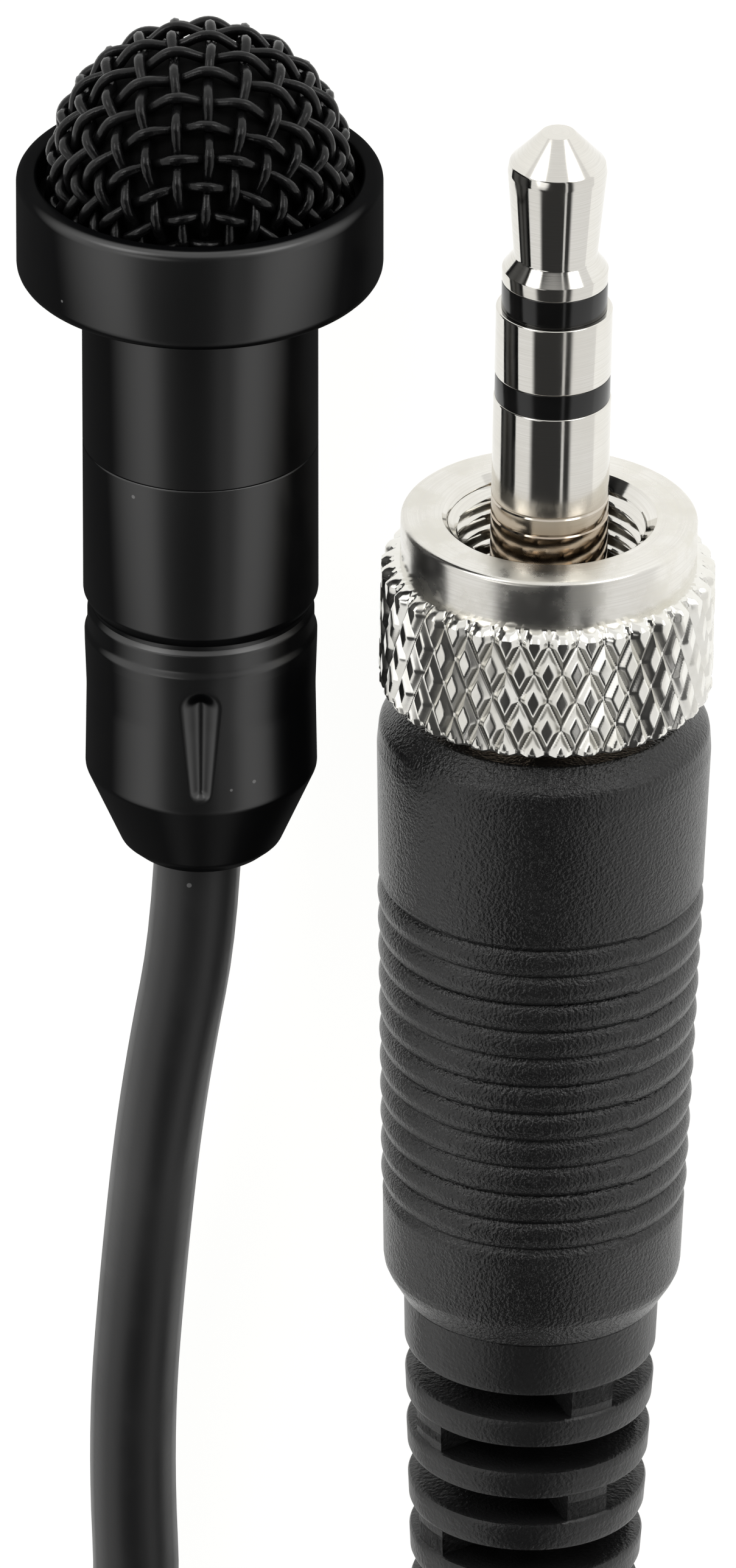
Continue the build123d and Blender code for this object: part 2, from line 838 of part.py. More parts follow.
# hank: the outer shape of the folded cable, narrow at the tie
with BuildPart() as cable_hank:
    with BuildSketch(Plane((hank_x, hank_y, 0))) as hank_outline:
        with BuildLine():
            Polyline(
                (waist_half_width, -waist_half_length),
                (waist_half_width, waist_half_length),
                (hank_half_width, waist_taper_end),
                (hank_half_width, hank_half_length),
                (-hank_half_width, hank_half_length),
                (-hank_half_width, waist_taper_end),
                (-waist_half_width, waist_half_length),
                (-waist_half_width, -waist_half_length),
                (-hank_half_width, -waist_taper_end),
                (-hank_half_width, -hank_half_length),
                (hank_half_width, -hank_half_length),
                (hank_half_width, -waist_taper_end),
                close=True,
            )
        make_face()
        rows = hank_outline.vertices().group_by(Axis.Y)
        fillet(rows[0] + rows[-1], hank_corner)
    extrude(amount=hank_height)
    with BuildSketch(Plane((hank_x, hank_y, 0))):
        Rectangle(2 * waist_half_width, tie_width)
    extrude(amount=tie_thickness, mode=Mode.SUBTRACT)
cable_hank.part.label = "cable_hank"
export_step(cable_hank.part, "parts/cable_hank.step")

with BuildPart() as hank_tie:
    tie_plane = Plane(origin=(hank_x, hank_y - tie_width / 2, 0), x_dir=(-1, 0, 0), z_dir=(0, 1, 0))
    tie_outer_height = hank_height + tie_thickness
    tie_outer_width = 2 * (waist_half_width + tie_thickness)
    with BuildSketch(tie_plane):
        with Locations((0, tie_outer_height / 2)):
            RectangleRounded(tie_outer_width, tie_outer_height, tie_thickness)
        with Locations((0, (hank_height + tie_thickness) / 2)):
            Rectangle(2 * waist_half_width, hank_height - tie_thickness, mode=Mode.SUBTRACT)
    extrude(amount=tie_width)
hank_tie.part.label = "hank_tie"
export_step(hank_tie.part, "parts/hank_tie.step")
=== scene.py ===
import json
import math
import bmesh
import bpy
import numpy as np
from mathutils import Matrix, Vector


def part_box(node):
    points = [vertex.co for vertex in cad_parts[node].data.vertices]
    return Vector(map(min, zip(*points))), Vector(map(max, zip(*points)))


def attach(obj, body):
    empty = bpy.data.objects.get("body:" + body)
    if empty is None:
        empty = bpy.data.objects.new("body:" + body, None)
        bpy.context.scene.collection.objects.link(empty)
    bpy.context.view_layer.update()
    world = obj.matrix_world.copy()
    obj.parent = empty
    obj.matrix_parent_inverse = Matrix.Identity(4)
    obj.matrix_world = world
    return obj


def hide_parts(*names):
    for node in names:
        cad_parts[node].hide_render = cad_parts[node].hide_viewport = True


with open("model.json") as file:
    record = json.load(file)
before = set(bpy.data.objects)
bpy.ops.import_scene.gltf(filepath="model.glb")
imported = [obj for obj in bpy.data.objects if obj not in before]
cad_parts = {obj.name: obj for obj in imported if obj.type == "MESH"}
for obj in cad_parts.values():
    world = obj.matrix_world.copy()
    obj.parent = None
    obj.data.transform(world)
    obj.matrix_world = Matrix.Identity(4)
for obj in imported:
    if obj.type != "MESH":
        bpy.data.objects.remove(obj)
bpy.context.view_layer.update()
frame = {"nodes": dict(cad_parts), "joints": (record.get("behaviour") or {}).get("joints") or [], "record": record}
nodes = frame["nodes"]
record = frame["record"]
mm = 0.001  # sizes in the dictionaries are millimetres
print("frame loaded,", len(nodes), "nodes")


def nutJoint():
    return next(j for j in frame["joints"] if j["name"] == "nut_spin")


def axisFrame(origin, along):
    # a turned piece's own directions: along its axis, up from the table, and across
    along = np.array(along, float) / np.linalg.norm(along)
    up = np.array([0.0, 0.0, 1.0])
    return {"origin": np.array(origin, float), "along": along, "up": up, "across": np.cross(along, up)}


collarLow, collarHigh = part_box("cap_collar")
micHeight = (collarLow[2] + collarHigh[2]) / 2
micAxis = axisFrame((0, collarLow[1], micHeight), (0, 1, 0))
plugAxis = axisFrame(nutJoint()["pos_m"], nutJoint()["axis"])


cameraSet = {
    "elevation": 62, "distance": 0.949, "lens": 730, "aimX": -4.97, "aimFromCollar": 20.72, "aimHeight": 5.0,
}


def makeCamera(s):
    # looks down on the pair from the mesh end, with that end at the top of the picture
    data = bpy.data.cameras.new("camera")
    data.lens = s["lens"]
    data.sensor_width = 36
    data.clip_start = 0.01
    data.clip_end = 10
    camera = bpy.data.objects.new("camera", data)
    bpy.context.scene.collection.objects.link(camera)
    tilt = math.radians(90 - s["elevation"])
    aim = Vector((s["aimX"] * mm, micAxis["origin"][1] + s["aimFromCollar"] * mm, s["aimHeight"] * mm))
    turn = Matrix.Rotation(tilt, 4, "X") @ Matrix.Rotation(math.pi, 4, "Z")
    camera.matrix_world = Matrix.Translation(aim + turn @ Vector((0, 0, s["distance"]))) @ turn
    bpy.context.scene.camera = camera


makeCamera(cameraSet)

lightSet = {
    "leftStart": 36, "leftFull": 46, "rightStart": 31, "rightFull": 40, "frontStart": 0.62, "frontFull": 0.74,
    "stripFrom": 18, "stripTo": 23, "strip": 0.8, "tint": (1, 0.995, 0.985, 1), "floorTint": (1, 1, 0.985, 1),
    "lamp": (0.59, -0.70, 0.40), "lampInner": 0.985, "lampOuter": 0.955, "lampGlow": 2.6,
    "high": (0.56, -0.08, 0.825), "highInner": 0.99, "highOuter": 0.95, "highGlow": 1.2,
    "dark": 0.035, "side": 0.86, "floorSize": 3.0, "floorGlow": 0.96, "floorColour": (0.2, 0.2, 0.2, 1),
}


def worldMath(tree, operation, first, second=None):
    node = tree.nodes.new("ShaderNodeMath")
    node.operation = operation
    for socket, value in zip(node.inputs, (first, second)):
        if isinstance(value, (int, float)):
            socket.default_value = value
        elif value is not None:
            tree.links.new(value, socket)
    return node.outputs[0]


def worldEdge(tree, value, low, high):
    ramp = tree.nodes.new("ShaderNodeMapRange")
    ramp.interpolation_type = "SMOOTHSTEP"
    ramp.inputs["From Min"].default_value = low
    ramp.inputs["From Max"].default_value = high
    tree.links.new(value, ramp.inputs["Value"])
    return ramp.outputs["Result"]


def makeWorld(s):
    # a white tent with a dark slit overhead and a pale strip in it; angles are degrees from straight up
    world = bpy.data.worlds.new("studio")
    bpy.context.scene.world = world
    world.use_nodes = True
    tree = world.node_tree
    place = tree.nodes.new("ShaderNodeTexCoord")
    split = tree.nodes.new("ShaderNodeSeparateXYZ")
    tree.links.new(place.outputs["Generated"], split.inputs[0])
    tilt = worldMath(tree, "ARCTAN2", split.outputs["X"], split.outputs["Z"])
    left = worldEdge(tree, tilt, math.radians(s["leftStart"]), math.radians(s["leftFull"]))
    otherTilt = worldMath(tree, "MULTIPLY", tilt, -1.0)
    right = worldEdge(tree, otherTilt, math.radians(s["rightStart"]), math.radians(s["rightFull"]))
    forward = worldMath(tree, "MULTIPLY", split.outputs["Y"], -1.0)
    front = worldEdge(tree, forward, s["frontStart"], s["frontFull"])
    white = worldMath(tree, "MAXIMUM", worldMath(tree, "MAXIMUM", left, right), front)
    above = worldMath(tree, "GREATER_THAN", tilt, -math.radians(s["stripTo"]))
    below = worldMath(tree, "LESS_THAN", tilt, -math.radians(s["stripFrom"]))
    strip = worldMath(tree, "MULTIPLY", worldMath(tree, "MULTIPLY", above, below), s["strip"])
    white = worldMath(tree, "MAXIMUM", white, strip)
    glow = worldMath(tree, "ADD", worldMath(tree, "MULTIPLY", white, s["side"] - s["dark"]), s["dark"])
    # a soft lamp low in front on both sides and one high on the left
    mirrored = tree.nodes.new("ShaderNodeCombineXYZ")
    tree.links.new(worldMath(tree, "ABSOLUTE", split.outputs["X"]), mirrored.inputs["X"])
    tree.links.new(split.outputs["Y"], mirrored.inputs["Y"])
    tree.links.new(split.outputs["Z"], mirrored.inputs["Z"])
    for lamp, seen in (("lamp", mirrored.outputs[0]), ("high", place.outputs["Generated"])):
        towards = tree.nodes.new("ShaderNodeVectorMath")
        towards.operation = "DOT_PRODUCT"
        towards.inputs[1].default_value = s[lamp]
        tree.links.new(seen, towards.inputs[0])
        disc = worldEdge(tree, towards.outputs["Value"], s[lamp + "Outer"], s[lamp + "Inner"])
        glow = worldMath(tree, "ADD", glow, worldMath(tree, "MULTIPLY", disc, s[lamp + "Glow"]))
    background = tree.nodes["Background"]
    background.inputs["Color"].default_value = s["tint"]
    tree.links.new(glow, background.inputs["Strength"])


def makeFloor(s):
    # a lit white table, so that the object hardly throws a shadow
    half = s["floorSize"] / 2
    mesh = bpy.data.meshes.new("floor")
    corners = [(-half, -half, 0), (half, -half, 0), (half, half, 0), (-half, half, 0)]
    mesh.from_pydata(corners, [], [(0, 1, 2, 3)])
    floor = bpy.data.objects.new("floor", mesh)
    bpy.context.scene.collection.objects.link(floor)
    paper = bpy.data.materials.new("lightTable")
    paper.use_nodes = True
    shader = paper.node_tree.nodes["Principled BSDF"]
    shader.inputs["Base Color"].default_value = s["floorColour"]
    shader.inputs["Roughness"].default_value = 0.9
    shader.inputs["Specular IOR Level"].default_value = 0.0
    shader.inputs["Emission Color"].default_value = s["floorTint"]
    shader.inputs["Emission Strength"].default_value = s["floorGlow"]
    mesh.materials.append(paper)


makeWorld(lightSet)
makeFloor(lightSet)
bpy.context.scene.view_settings.view_transform = "Standard"
print("camera, lights and floor made")


def newGroup(name, inputs, outputs):
    # sockets are (name, kind, value); kind is Float, Vector or Color
    group = bpy.data.node_groups.new(name, "ShaderNodeTree")
    for label, kind, value in inputs:
        socket = group.interface.new_socket(name=label, in_out="INPUT", socket_type="NodeSocket" + kind)
        if value is not None:
            socket.default_value = value
    for label, kind in outputs:
        group.interface.new_socket(name=label, in_out="OUTPUT", socket_type="NodeSocket" + kind)
    source = group.nodes.new("NodeGroupInput")
    sink = group.nodes.new("NodeGroupOutput")
    return group, source, sink


def addNoise(group, vector, scale, detail=3.0, roughness=0.55):
    noise = group.nodes.new("ShaderNodeTexNoise")
    noise.inputs["Detail"].default_value = detail
    noise.inputs["Roughness"].default_value = roughness
    group.links.new(vector, noise.inputs["Vector"])
    if isinstance(scale, (int, float)):
        noise.inputs["Scale"].default_value = scale
    else:
        group.links.new(scale, noise.inputs["Scale"])
    return noise.outputs["Fac"]


def addMath(group, operation, a, b=None, clamp=False):
    node = group.nodes.new("ShaderNodeMath")
    node.operation = operation
    node.use_clamp = clamp
    for slot, value in zip(node.inputs, (a, b)):
        if value is None:
            continue
        if isinstance(value, (int, float)):
            slot.default_value = value
        else:
            group.links.new(value, slot)
    return node.outputs[0]


def addRange(group, value, low, high, toLow=0.0, toHigh=1.0):
    node = group.nodes.new("ShaderNodeMapRange")
    node.interpolation_type = "SMOOTHSTEP"
    group.links.new(value, node.inputs["Value"])
    for label, number in (("From Min", low), ("From Max", high), ("To Min", toLow), ("To Max", toHigh)):
        if isinstance(number, (int, float)):
            node.inputs[label].default_value = number
        else:
            group.links.new(number, node.inputs[label])
    return node.outputs["Result"]


def makeGrainGroup():
    # moulded or painted grain: two sizes of bumps, and a mask of their tops, on which a lighter colour can be
    # painted as a highlight
    group, source, sink = newGroup(
        "fineGrain",
        [("Vector", "Vector", None), ("Scale", "Float", 4000.0), ("Coarse", "Float", 0.35)],
        [("Height", "Float"), ("Tops", "Float")])
    fine = addNoise(group, source.outputs["Vector"], source.outputs["Scale"], 2.0, 0.5)
    wide = addMath(group, "MULTIPLY", source.outputs["Scale"], 0.27)
    coarse = addNoise(group, source.outputs["Vector"], wide, 3.0, 0.6)
    mixed = group.nodes.new("ShaderNodeMix")
    group.links.new(source.outputs["Coarse"], mixed.inputs["Factor"])
    group.links.new(fine, mixed.inputs["A"])
    group.links.new(coarse, mixed.inputs["B"])
    group.links.new(mixed.outputs["Result"], sink.inputs["Height"])
    group.links.new(addRange(group, mixed.outputs["Result"], 0.55, 0.68), sink.inputs["Tops"])
    return group


def makeDustGroup():
    # a few pale specks: the middles of scattered cells, where a second noise lets them through
    group, source, sink = newGroup(
        "dustSpecks",
        [("Vector", "Vector", None), ("Scale", "Float", 900.0), ("Size", "Float", 0.09),
         ("Rarity", "Float", 0.6)],
        [("Mask", "Float")])
    cells = group.nodes.new("ShaderNodeTexVoronoi")
    group.links.new(source.outputs["Vector"], cells.inputs["Vector"])
    group.links.new(source.outputs["Scale"], cells.inputs["Scale"])
    near = addMath(group, "LESS_THAN", cells.outputs["Distance"], source.outputs["Size"])
    patch = addNoise(group, source.outputs["Vector"], 310.0, 2.0, 0.5)
    allowed = addMath(group, "GREATER_THAN", patch, source.outputs["Rarity"])
    group.links.new(addMath(group, "MULTIPLY", near, allowed), sink.inputs["Mask"])
    return group


def makeTurnedGroup():
    # lathe lines: noise that changes quickly along the axis and hardly at all round it
    group, source, sink = newGroup(
        "turnedLines",
        [("Around", "Vector", None), ("Lines", "Float", 9.0), ("Drift", "Float", 2.0)],
        [("Height", "Float"), ("Mask", "Float")])
    split = group.nodes.new("ShaderNodeSeparateXYZ")
    group.links.new(source.outputs["Around"], split.inputs[0])
    joined = group.nodes.new("ShaderNodeCombineXYZ")
    for side, amount in (("X", "Drift"), ("Y", "Lines")):
        stretched = addMath(group, "MULTIPLY", split.outputs[side], source.outputs[amount])
        group.links.new(stretched, joined.inputs[side])
    lines = addNoise(group, joined.outputs[0], 1.0, 4.0, 0.7)
    group.links.new(lines, sink.inputs["Height"])
    group.links.new(addRange(group, lines, 0.35, 0.7), sink.inputs["Mask"])
    return group


def makeSmudgeGroup():
    # handling marks: broad soft patches
    group, source, sink = newGroup(
        "smudges",
        [("Vector", "Vector", None), ("Scale", "Float", 240.0)],
        [("Mask", "Float")])
    patches = addNoise(group, source.outputs["Vector"], source.outputs["Scale"], 5.0, 0.6)
    group.links.new(addRange(group, patches, 0.4, 0.66), sink.inputs["Mask"])
    return group


# effects that several finishes share, as node groups
effects = {
    "grain": makeGrainGroup(), "dust": makeDustGroup(),
    "turned": makeTurnedGroup(), "smudge": makeSmudgeGroup(),
}


dustColour = (0.16, 0.16, 0.16)


def placeEffect(tree, name, vector, values):
    node = tree.nodes.new("ShaderNodeGroup")
    node.node_tree = effects[name]
    tree.links.new(vector, node.inputs[0])
    for label, value in values.items():
        node.inputs[label].default_value = value
    return node


def mixColour(tree, mask, under, over):
    node = tree.nodes.new("ShaderNodeMix")
    node.data_type = "RGBA"
    tree.links.new(mask, node.inputs["Factor"])
    for socket, value in ((node.inputs[6], under), (node.inputs[7], over)):
        if isinstance(value, tuple):
            socket.default_value = (*value, 1)
        else:
            tree.links.new(value, socket)
    return node.outputs[2]


def makeFinish(name, s):
    # one material: patchy colour with dust over it, a painted highlight on the tops of the grain where asked,
    # patchy roughness, and bumps of grain or lathe lines
    material = bpy.data.materials.new(name)
    material.use_nodes = True
    tree = material.node_tree
    shader = tree.nodes["Principled BSDF"]
    place = tree.nodes.new("ShaderNodeTexCoord").outputs["Object"]
    for label, value in s.get("fixed", {}).items():
        shader.inputs[label].default_value = value
    smudge = placeEffect(tree, "smudge", place, {"Scale": s.get("patchScale", 240.0)})
    colour = mixColour(tree, smudge.outputs["Mask"], s["colour"], s["patchColour"])
    height = None
    if "grain" in s:
        grain = placeEffect(tree, "grain", place, {"Scale": s["grain"], "Coarse": s.get("coarse", 0.35)})
        height = grain.outputs["Height"]
        # painted highlight: the tops of the grain bumps are coloured lighter, as glints
        if "topColour" in s:
            colour = mixColour(tree, grain.outputs["Tops"], colour, s["topColour"])
    if "lines" in s:
        layout = tree.nodes.new("ShaderNodeUVMap")
        layout.uv_map = "around"
        turned = placeEffect(tree, "turned", layout.outputs["UV"], {"Lines": s["lines"]})
        height = turned.outputs["Height"]
        if "lineColour" in s:
            colour = mixColour(tree, turned.outputs["Mask"], colour, s["lineColour"])
    if "dust" in s:
        dust = placeEffect(tree, "dust", place, {"Size": s["dust"], "Rarity": s.get("rarity", 0.6)})
        colour = mixColour(tree, dust.outputs["Mask"], colour, dustColour)
    if "lacquerFade" in s:
        # satin lacquer whose shine falls off towards the outline
        edge = tree.nodes.new("ShaderNodeLayerWeight")
        edge.inputs["Blend"].default_value = 0.5
        fade = tree.nodes.new("ShaderNodeMapRange")
        fade.interpolation_type = "SMOOTHSTEP"
        fade.inputs["From Min"].default_value = s["lacquerFade"][0]
        fade.inputs["From Max"].default_value = s["lacquerFade"][1]
        fade.inputs["To Min"].default_value = 1.0
        fade.inputs["To Max"].default_value = 0.04
        tree.links.new(edge.outputs["Facing"], fade.inputs["Value"])
        tree.links.new(fade.outputs["Result"], shader.inputs["Coat Weight"])
    if "stain" in s:
        # old handling tarnish, between two distances along the profile
        layout = tree.nodes.new("ShaderNodeUVMap")
        layout.uv_map = "around"
        split = tree.nodes.new("ShaderNodeSeparateXYZ")
        tree.links.new(layout.outputs["UV"], split.inputs[0])
        tarnish = tree.nodes.new("ShaderNodeMapRange")
        tarnish.interpolation_type = "SMOOTHSTEP"
        tarnish.inputs["From Min"].default_value = s["stain"][0]
        tarnish.inputs["From Max"].default_value = s["stain"][1]
        tree.links.new(split.outputs["Y"], tarnish.inputs["Value"])
        colour = mixColour(tree, tarnish.outputs["Result"], colour, s["stainColour"])
    tree.links.new(colour, shader.inputs["Base Color"])
    rough = tree.nodes.new("ShaderNodeMapRange")
    tree.links.new(smudge.outputs["Mask"], rough.inputs["Value"])
    rough.inputs["To Min"].default_value = s["rough"][0]
    rough.inputs["To Max"].default_value = s["rough"][1]
    tree.links.new(rough.outputs["Result"], shader.inputs["Roughness"])
    if height is not None:
        bump = tree.nodes.new("ShaderNodeBump")
        bump.inputs["Strength"].default_value = s["bump"]
        bump.inputs["Distance"].default_value = s.get("bumpDepth", 0.02) * mm
        tree.links.new(height, bump.inputs["Height"])
        tree.links.new(bump.outputs["Normal"], shader.inputs["Normal"])
    return material


finishes = {
    "sleeveNickel": makeFinish("sleeveNickel", {
        "colour": (0.80, 0.785, 0.745), "patchColour": (0.76, 0.74, 0.69), "rough": (0.08, 0.13),
        "lines": 26.0, "lineColour": (0.72, 0.70, 0.655), "bump": 0.10, "bumpDepth": 0.004, "patchScale": 420.0,
        "stain": (2.5, 4.9), "stainColour": (0.50, 0.41, 0.315), "fixed": {"Metallic": 1.0}}),
    "knurlNickel": makeFinish("knurlNickel", {
        "colour": (0.86, 0.85, 0.81), "patchColour": (0.80, 0.785, 0.73), "rough": (0.17, 0.25),
        "grain": 9000.0, "bump": 0.12, "bumpDepth": 0.008, "patchScale": 620.0, "fixed": {"Metallic": 1.0}}),
    "nutNickel": makeFinish("nutNickel", {
        "colour": (0.83, 0.815, 0.775), "patchColour": (0.76, 0.74, 0.675), "rough": (0.2, 0.36),
        "lines": 12.0, "lineColour": (0.75, 0.73, 0.685), "bump": 0.16, "bumpDepth": 0.006, "patchScale": 620.0,
        "fixed": {"Metallic": 1.0}}),
    "black_metal": makeFinish("satinBlackPaint", {
        "colour": (0.0026, 0.0027, 0.0030), "patchColour": (0.0034, 0.0035, 0.0038), "rough": (0.8, 0.9),
        "grain": 9000.0, "coarse": 0.3, "bump": 0.25, "bumpDepth": 0.006, "dust": 0.06, "rarity": 0.60,
        "lacquerFade": (0.17, 0.45),
        "fixed": {"Specular IOR Level": 0.0, "Coat Roughness": 0.32, "Coat IOR": 1.76}}),
    "mesh_wire": makeFinish("blackWire", {
        "colour": (0.003, 0.003, 0.0032), "patchColour": (0.006, 0.006, 0.0063), "rough": (0.2, 0.32),
        "grain": 9000.0, "bump": 0.7, "bumpDepth": 0.02, "fixed": {"Specular IOR Level": 0.3}}),
    "liner_cloth": makeFinish("linerCloth", {
        "colour": (0.004, 0.004, 0.004), "patchColour": (0.007, 0.007, 0.007), "rough": (0.9, 1.0),
        "grain": 7000.0, "bump": 0.8, "bumpDepth": 0.03, "fixed": {"Specular IOR Level": 0.1}}),
    "nickel": makeFinish("brightNickel", {
        "colour": (0.80, 0.785, 0.745), "patchColour": (0.76, 0.74, 0.69), "rough": (0.07, 0.13),
        "lines": 26.0, "lineColour": (0.72, 0.70, 0.655), "bump": 0.10, "bumpDepth": 0.004,
        "patchScale": 420.0, "fixed": {"Metallic": 1.0}}),
    "contact_insulator": makeFinish("insulatorPlastic", {
        "colour": (0.006, 0.006, 0.006), "patchColour": (0.009, 0.009, 0.009), "rough": (0.12, 0.2),
        "lines": 18.0, "bump": 0.05, "bumpDepth": 0.003, "fixed": {"Specular IOR Level": 0.5}}),
    # its lighter grain tops are a painted highlight: glints on the moulded grain
    "grip_plastic": makeFinish("grainedPlastic", {
        "colour": (0.0075, 0.0075, 0.0078), "patchColour": (0.010, 0.010, 0.0103), "rough": (0.24, 0.31),
        "grain": 10500.0, "coarse": 0.35, "bump": 1.0, "bumpDepth": 0.075, "topColour": (0.013, 0.013, 0.0132),
        "dust": 0.07, "rarity": 0.66, "fixed": {"Specular IOR Level": 0.5}}),
    "boot_rubber": makeFinish("bootRubber", {
        "colour": (0.0075, 0.0075, 0.0078), "patchColour": (0.010, 0.010, 0.0103), "rough": (0.34, 0.42),
        "grain": 8500.0, "coarse": 0.35, "bump": 1.0, "bumpDepth": 0.04, "dust": 0.07, "rarity": 0.66,
        "fixed": {"Specular IOR Level": 0.45}}),
    "cable_jacket": makeFinish("cableJacket", {
        "colour": (0.011, 0.011, 0.0115), "patchColour": (0.015, 0.015, 0.0155), "rough": (0.42, 0.5),
        "grain": 6500.0, "coarse": 0.5, "bump": 0.35, "bumpDepth": 0.015, "dust": 0.07, "rarity": 0.68,
        "fixed": {"Specular IOR Level": 0.5}}),
    # its lighter grain tops are a painted highlight on the fabric
    "tie_fabric": makeFinish("strapLoops", {
        "colour": (0.014, 0.014, 0.015), "patchColour": (0.022, 0.022, 0.023), "rough": (0.85, 0.95),
        "grain": 3600.0, "coarse": 0.2, "bump": 1.0, "bumpDepth": 0.12, "topColour": (0.035, 0.035, 0.037),
        "fixed": {"Sheen Weight": 0.4, "Sheen Roughness": 0.5}}),
    "brass": makeFinish("turnedBrass", {
        "colour": (0.62, 0.42, 0.16), "patchColour": (0.55, 0.36, 0.13), "rough": (0.2, 0.3),
        "grain": 6000.0, "bump": 0.1, "fixed": {"Metallic": 1.0}}),
    "gasket_rubber": makeFinish("gasketRubber", {
        "colour": (0.02, 0.02, 0.02), "patchColour": (0.03, 0.03, 0.03), "rough": (0.7, 0.8),
        "grain": 5000.0, "bump": 0.4}),
    "capsule_aluminium": makeFinish("drawnAluminium", {
        "colour": (0.72, 0.72, 0.73), "patchColour": (0.64, 0.64, 0.65), "rough": (0.25, 0.35),
        "grain": 8000.0, "bump": 0.15, "fixed": {"Metallic": 1.0}}),
    "diaphragm_film": makeFinish("goldFilm", {
        "colour": (0.75, 0.62, 0.34), "patchColour": (0.7, 0.57, 0.3), "rough": (0.1, 0.16),
        "grain": 4000.0, "bump": 0.05, "fixed": {"Metallic": 0.8}}),
    "inner_plastic": makeFinish("innerPlastic", {
        "colour": (0.06, 0.06, 0.065), "patchColour": (0.08, 0.08, 0.085), "rough": (0.45, 0.55),
        "grain": 6000.0, "bump": 0.3}),
    "board_laminate": makeFinish("boardLaminate", {
        "colour": (0.02, 0.13, 0.05), "patchColour": (0.03, 0.18, 0.07), "rough": (0.3, 0.4),
        "grain": 3000.0, "bump": 0.2}),
    "solder": makeFinish("solderMetal", {
        "colour": (0.6, 0.6, 0.61), "patchColour": (0.5, 0.5, 0.51), "rough": (0.2, 0.32),
        "grain": 5000.0, "bump": 0.3, "fixed": {"Metallic": 1.0}}),
    "signal_insulation": makeFinish("redInsulation", {
        "colour": (0.4, 0.02, 0.015), "patchColour": (0.48, 0.03, 0.02), "rough": (0.35, 0.45),
        "grain": 6000.0, "bump": 0.1}),
    "shield_insulation": makeFinish("whiteInsulation", {
        "colour": (0.68, 0.68, 0.66), "patchColour": (0.74, 0.74, 0.72), "rough": (0.35, 0.45),
        "grain": 6000.0, "bump": 0.1}),
}
for entry in record["subparts"]:
    mesh = nodes[entry["node"]].data
    mesh.materials.clear()
    mesh.materials.append(finishes[entry["material_slot"]])
print("finishes made,", len(finishes))


def roundProfile(corners, closed=False):
    # corners are (radius, station, rounding); each rounding is an arc touching both its sides
    places = np.array([c[:2] for c in corners], float)
    count = len(corners)
    out = []
    for index, (place, corner) in enumerate(zip(places, corners)):
        rounding = corner[2] if len(corner) > 2 else 0
        if rounding <= 0 or (not closed and index in (0, count - 1)):
            out.append(place)
            continue
        before, after = places[index - 1] - place, places[(index + 1) % count] - place
        longBefore, longAfter = np.linalg.norm(before), np.linalg.norm(after)
        before, after = before / longBefore, after / longAfter
        half = math.acos(np.clip(before @ after, -1, 1)) / 2
        cut = min(rounding / math.tan(half), 0.48 * longBefore, 0.48 * longAfter)
        centre = place + (before + after) / np.linalg.norm(before + after) * cut / math.cos(half)
        sweep = math.pi - 2 * half
        start, end = place + before * cut - centre, place + after * cut - centre
        for t in np.linspace(0, 1, max(3, int(sweep / math.radians(12)) + 1)):
            part = math.sin((1 - t) * sweep) * start + math.sin(t * sweep) * end
            out.append(centre + part / math.sin(sweep))
    if closed:
        out.append(out[0])
    return np.array(out)


def refineProfile(profile, step, above=0.0):
    # adds points so that no side further out than above is longer than step
    out = [profile[0]]
    for a, b in zip(profile[:-1], profile[1:]):
        pieces = max(1, int(math.ceil(np.linalg.norm(b - a) / step))) if min(a[0], b[0]) > above else 1
        out.extend(a + (b - a) * k / pieces for k in range(1, pieces + 1))
    return np.array(out)


def turnedPoints(axis, radius, station, angle):
    # point = origin + station * along + radius * (cos(angle) * across + sin(angle) * up)
    spin = np.cos(angle)[..., None] * axis["across"] + np.sin(angle)[..., None] * axis["up"]
    return axis["origin"] + mm * (station[..., None] * axis["along"] + radius[..., None] * spin)


def gridMesh(name, points, lengths, sharp=35):
    # a surface wrapped round its columns: faces join (row, column) to the next row and column
    rows, columns = points.shape[:2]
    row, column = np.meshgrid(np.arange(rows - 1), np.arange(columns), indexing="ij")
    following = (column + 1) % columns
    faces = np.stack([row * columns + column, (row + 1) * columns + column,
                      (row + 1) * columns + following, row * columns + following], -1).reshape(-1, 4)
    mesh = bpy.data.meshes.new(name)
    mesh.vertices.add(rows * columns)
    mesh.vertices.foreach_set("co", points.reshape(-1).astype(np.float32))
    mesh.loops.add(faces.size)
    mesh.loops.foreach_set("vertex_index", faces.reshape(-1).astype(np.int32))
    mesh.polygons.add(len(faces))
    mesh.polygons.foreach_set("loop_start", np.arange(0, faces.size, 4, dtype=np.int32))
    mesh.update(calc_edges=True)
    turn = np.stack([column, column, column + 1, column + 1], -1) / columns
    distance = np.stack([lengths[row], lengths[row + 1], lengths[row + 1], lengths[row]], -1)
    layout = mesh.uv_layers.new(name="around")
    layout.data.foreach_set("uv", np.stack([turn, distance], -1).reshape(-1).astype(np.float32))
    weld(mesh)
    mesh.polygons.foreach_set("use_smooth", np.ones(len(mesh.polygons), bool))
    mesh.set_sharp_from_angle(angle=math.radians(sharp))
    return mesh


def weld(mesh):
    # joins the rows that meet on the axis or close an outline
    work = bmesh.new()
    work.from_mesh(mesh)
    bmesh.ops.remove_doubles(work, verts=work.verts, dist=1e-7)
    work.to_mesh(mesh)
    work.free()


def turnedMesh(name, axis, profile, columns, shape=None, sharp=35, focus=0):
    # shape(radius, station, angle) may carve the plain turned radius; focus crowds columns towards the top
    lengths = np.concatenate([[0], np.cumsum(np.linalg.norm(np.diff(profile, axis=0), axis=1))])
    turn = np.arange(columns) * 2 * np.pi / columns
    angle = turn + focus * np.sin(turn) - np.pi / 2
    radius, spin = np.meshgrid(profile[:, 0], angle, indexing="ij")
    station = np.repeat(profile[:, 1:2], columns, axis=1)
    if shape is not None:
        radius = shape(radius, station, spin)
    return gridMesh(name, turnedPoints(axis, radius, station, spin), lengths, sharp)


